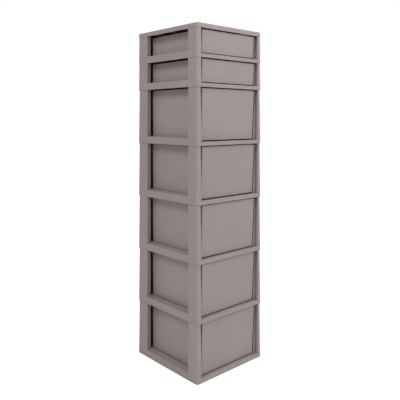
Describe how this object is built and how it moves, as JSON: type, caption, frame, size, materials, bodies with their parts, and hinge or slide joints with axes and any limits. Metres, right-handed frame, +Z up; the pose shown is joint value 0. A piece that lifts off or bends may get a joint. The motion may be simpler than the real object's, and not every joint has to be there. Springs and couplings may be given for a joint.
{
  "type": "drawer tower",
  "caption": "Tall stackable plastic drawer tower: frames with open side windows stacked on each other, a pull-out drawer in each, flat top cover.",
  "frame": {"origin": "centre of the footprint, on the floor", "axes": "+Z up; the drawers open towards -Y; +X to the right seen from the front"},
  "size_m": [0.3, 0.315, 1.131],
  "materials": {
    "frame_plastic": "satin injection-moulded polypropylene, taupe",
    "drawer_plastic": "satin injection-moulded polypropylene, taupe"
  },
  "bodies": {
    "tower": {"deep_frame_1": "frame_plastic", "deep_frame_2": "frame_plastic", "deep_frame_3": "frame_plastic", "deep_frame_4": "frame_plastic", "deep_frame_5": "frame_plastic", "shallow_frame_1": "frame_plastic", "shallow_frame_2": "frame_plastic", "top_cover": "frame_plastic"},
    "deep_drawer_1": {"deep_drawer_1": "drawer_plastic"},
    "deep_drawer_2": {"deep_drawer_2": "drawer_plastic"},
    "deep_drawer_3": {"deep_drawer_3": "drawer_plastic"},
    "deep_drawer_4": {"deep_drawer_4": "drawer_plastic"},
    "deep_drawer_5": {"deep_drawer_5": "drawer_plastic"},
    "shallow_drawer_1": {"shallow_drawer_1": "drawer_plastic"},
    "shallow_drawer_2": {"shallow_drawer_2": "drawer_plastic"}
  },
  "joints": [
    {"name": "deep_drawer_1_slide", "type": "slide", "parent": "tower", "child": "deep_drawer_1", "axis": [0, -1, 0], "range_m": [0, 0.2]},
    {"name": "deep_drawer_2_slide", "type": "slide", "parent": "tower", "child": "deep_drawer_2", "axis": [0, -1, 0], "range_m": [0, 0.2]},
    {"name": "deep_drawer_3_slide", "type": "slide", "parent": "tower", "child": "deep_drawer_3", "axis": [0, -1, 0], "range_m": [0, 0.2]},
    {"name": "deep_drawer_4_slide", "type": "slide", "parent": "tower", "child": "deep_drawer_4", "axis": [0, -1, 0], "range_m": [0, 0.2]},
    {"name": "deep_drawer_5_slide", "type": "slide", "parent": "tower", "child": "deep_drawer_5", "axis": [0, -1, 0], "range_m": [0, 0.2]},
    {"name": "shallow_drawer_1_slide", "type": "slide", "parent": "tower", "child": "shallow_drawer_1", "axis": [0, -1, 0], "range_m": [0, 0.2]},
    {"name": "shallow_drawer_2_slide", "type": "slide", "parent": "tower", "child": "shallow_drawer_2", "axis": [0, -1, 0], "range_m": [0, 0.2]}
  ]
}
